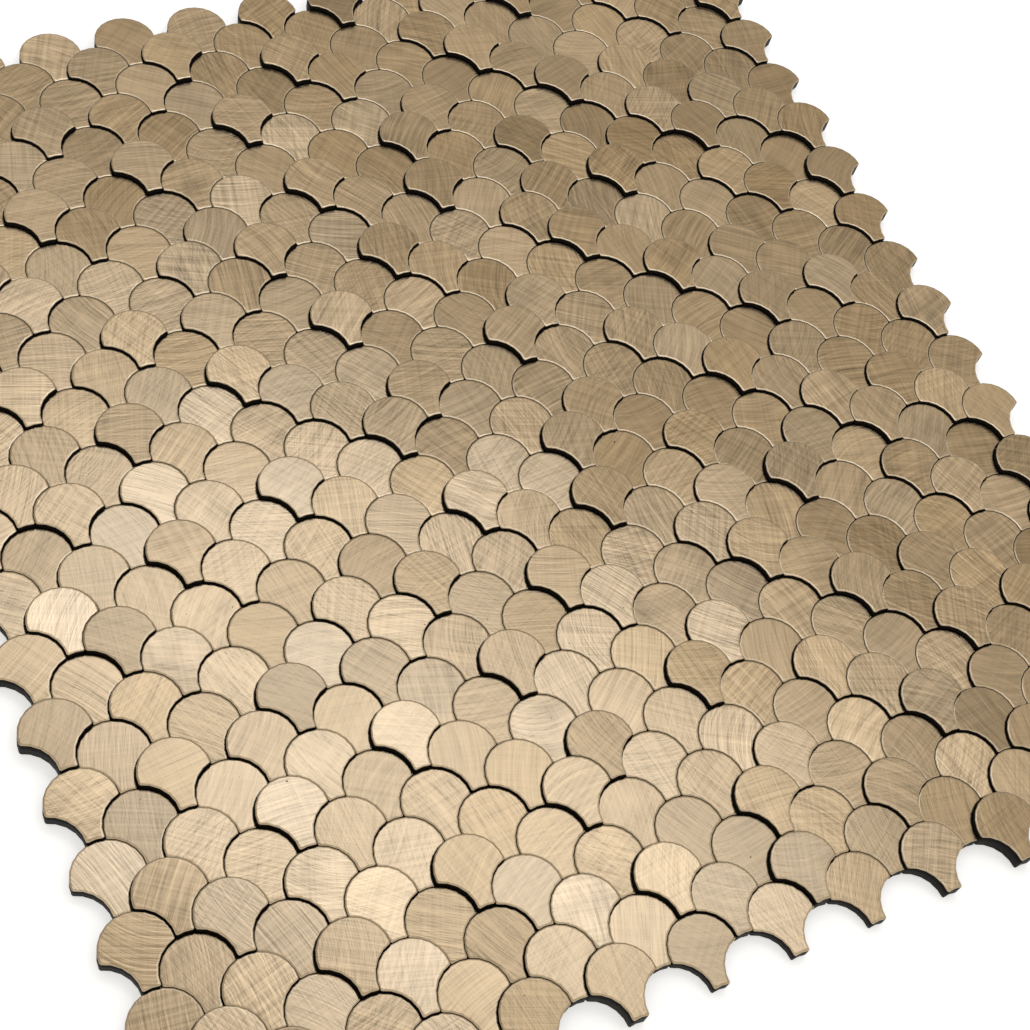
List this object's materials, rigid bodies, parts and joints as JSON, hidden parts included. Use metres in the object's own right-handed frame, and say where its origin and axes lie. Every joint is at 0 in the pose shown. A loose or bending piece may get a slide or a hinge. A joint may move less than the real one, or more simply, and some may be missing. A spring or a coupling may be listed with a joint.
{
  "type": "self-adhesive mosaic tile sheet",
  "caption": "Sheet of fan-shaped brushed metal mosaic chips in three thicknesses, laid like fish scales on an adhesive film with a release liner.",
  "frame": {"origin": "middle of the sheet, on the underside of the release liner", "axes": "+X across the sheet along the rows of chips, +Y up the sheet from the chips' tails to their heads, +Z out of the chips' faces"},
  "size_m": [0.2856, 0.3148, 0.0052],
  "materials": {
    "gold_composite": "brushed champagne gold face on black walls",
    "adhesive": "tacky dark film",
    "liner": "silicone-coated paper"
  },
  "bodies": {
    "root": {"low_chips": "gold_composite", "middle_chips": "gold_composite", "high_chips": "gold_composite", "adhesive_film": "adhesive", "release_liner": "liner"}
  },
  "joints": []
}
